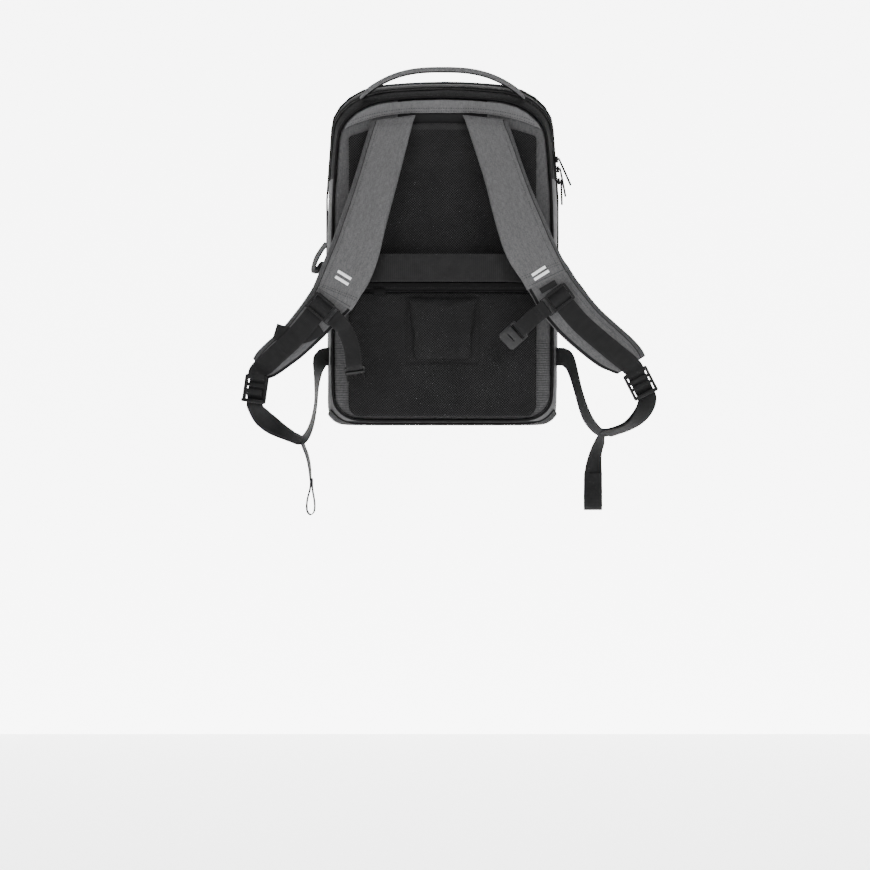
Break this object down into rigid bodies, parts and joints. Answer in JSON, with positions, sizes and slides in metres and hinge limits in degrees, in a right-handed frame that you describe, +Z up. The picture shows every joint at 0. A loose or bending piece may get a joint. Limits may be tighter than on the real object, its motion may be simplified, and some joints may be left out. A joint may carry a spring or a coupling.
{
  "type": "laptop backpack",
  "caption": "Soft-sided laptop backpack with padded shoulder straps, sternum strap, air mesh back, sleeve strap for a suitcase handle, top grab handle and side zips.",
  "frame": {"origin": "middle of the passage behind the wide strap across the back, where the bag rides on a suitcase handle", "axes": "+X to the right and +Y into the bag as seen from the wearer's side, +Z up towards the grab handle"},
  "size_m": [0.5667, 0.2046, 0.6163],
  "materials": {
    "grey_fabric": "heather grey woven polyester over foam",
    "dark_fabric": "plain black woven polyester",
    "air_mesh": "black padded air mesh with a small diamond pattern",
    "webbing": "black ribbed webbing",
    "zip_and_piping": "black zip tape, coil and piping",
    "buckle_plastic": "satin dark grey moulded plastic",
    "zip_pull": "black painted metal",
    "reflective": "silver white reflective film"
  },
  "bodies": {
    "root": {"rear_shell": "grey_fabric", "front_shell": "grey_fabric", "back_panel": "grey_fabric", "back_piping": "zip_and_piping", "yoke": "grey_fabric", "back_mesh_upper": "air_mesh", "back_mesh_lower": "air_mesh", "pocket_band": "dark_fabric", "lumbar_pad": "air_mesh", "seam_tag": "dark_fabric", "luggage_strap": "webbing", "laptop_zip": "zip_and_piping", "main_zip": "zip_and_piping", "base_panel": "dark_fabric", "top_handle": "dark_fabric", "side_tab": "webbing", "zip_slider_1": "zip_pull", "zip_pull_1": "zip_pull", "zip_slider_2": "zip_pull", "zip_pull_2": "zip_pull", "zip_slider_3": "zip_pull", "zip_pull_3": "zip_pull", "strap_upper_left": "grey_fabric", "strap_lower_left": "grey_fabric", "strap_web_left": "webbing", "sternum_slider_left": "buckle_plastic", "sternum_web_left": "webbing", "sternum_tail_left": "webbing", "ladder_lock_left": "buckle_plastic", "adjuster_web_left": "webbing", "reflective_bar_left_1": "reflective", "reflective_bar_left_2": "reflective", "strap_upper_right": "grey_fabric", "strap_lower_right": "grey_fabric", "strap_web_right": "webbing", "sternum_slider_right": "buckle_plastic", "sternum_web_right": "webbing", "ladder_lock_right": "buckle_plastic", "adjuster_web_right": "webbing", "reflective_bar_right_1": "reflective", "reflective_bar_right_2": "reflective", "buckle_male": "buckle_plastic", "buckle_female": "buckle_plastic", "strap_label": "dark_fabric"}
  },
  "joints": []
}
